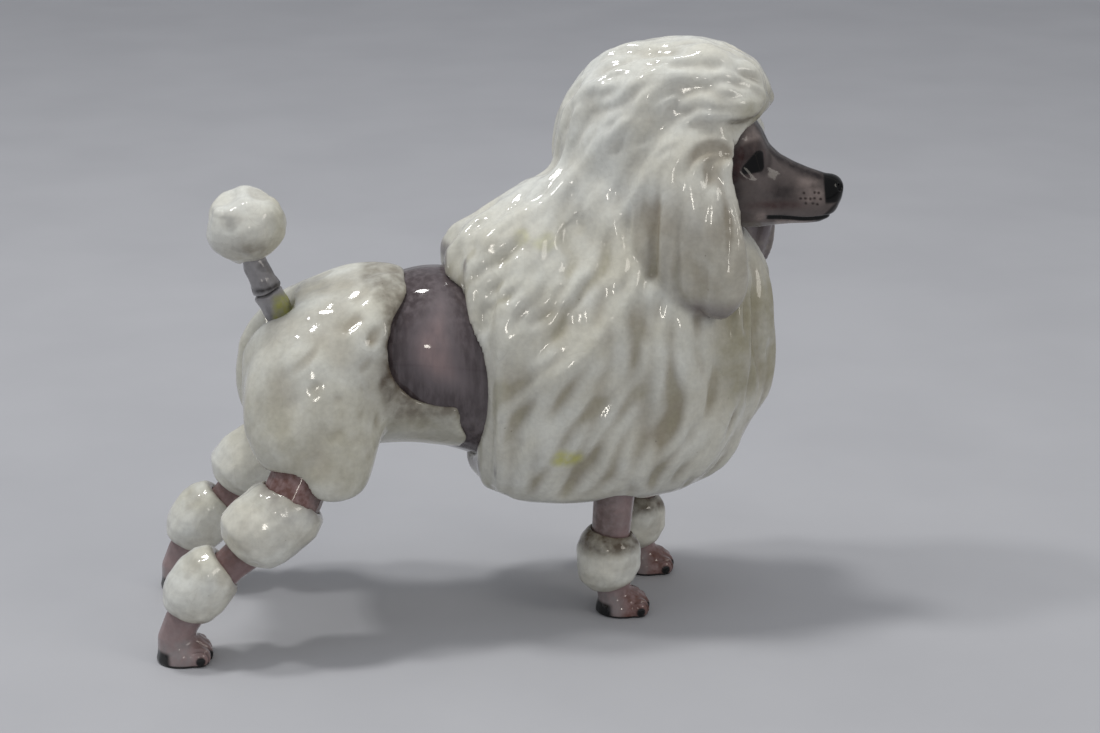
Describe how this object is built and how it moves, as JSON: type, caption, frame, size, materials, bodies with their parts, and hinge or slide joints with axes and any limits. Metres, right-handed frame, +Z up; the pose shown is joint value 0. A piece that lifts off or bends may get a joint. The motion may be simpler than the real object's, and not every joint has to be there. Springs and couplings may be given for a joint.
{
  "type": "standing poodle figurine",
  "caption": "Glazed ceramic figurine of a poodle standing in a continental clip, head turned to its right, on its own feet.",
  "frame": {"origin": "middle of the bounding box, on the ground the four feet stand on", "axes": "+X forward (the way the body faces), +Y to the dog's left, +Z up"},
  "size_m": [0.1606, 0.0606, 0.134],
  "materials": {
    "coat_glaze": "cream-white body under a clear gloss glaze, taupe wash in the hollows",
    "face_glaze": "hand-painted mauve grey with black eyes, nose and mouth under gloss glaze",
    "loin_glaze": "brushed mauve grey, pinker in the middle, under gloss glaze",
    "tail_glaze": "grey underglaze, old glue at the root",
    "leg_glaze": "mottled pink brown with black claws under gloss glaze"
  },
  "bodies": {
    "root": {"mane_coat": "coat_glaze", "topknot": "coat_glaze", "ear_right": "coat_glaze", "ear_left": "coat_glaze", "hindquarter_coat": "coat_glaze", "tail_pompon": "coat_glaze", "front_bracelet_right": "coat_glaze", "front_bracelet_left": "coat_glaze", "hind_bracelet_upper_right": "coat_glaze", "hind_bracelet_upper_left": "coat_glaze", "hind_bracelet_lower_right": "coat_glaze", "hind_bracelet_lower_left": "coat_glaze", "head": "face_glaze", "loin": "loin_glaze", "tail_root": "tail_glaze", "tail_stem": "tail_glaze", "front_leg_right": "leg_glaze", "front_leg_left": "leg_glaze", "hind_leg_right": "leg_glaze", "hind_leg_left": "leg_glaze"}
  },
  "joints": []
}
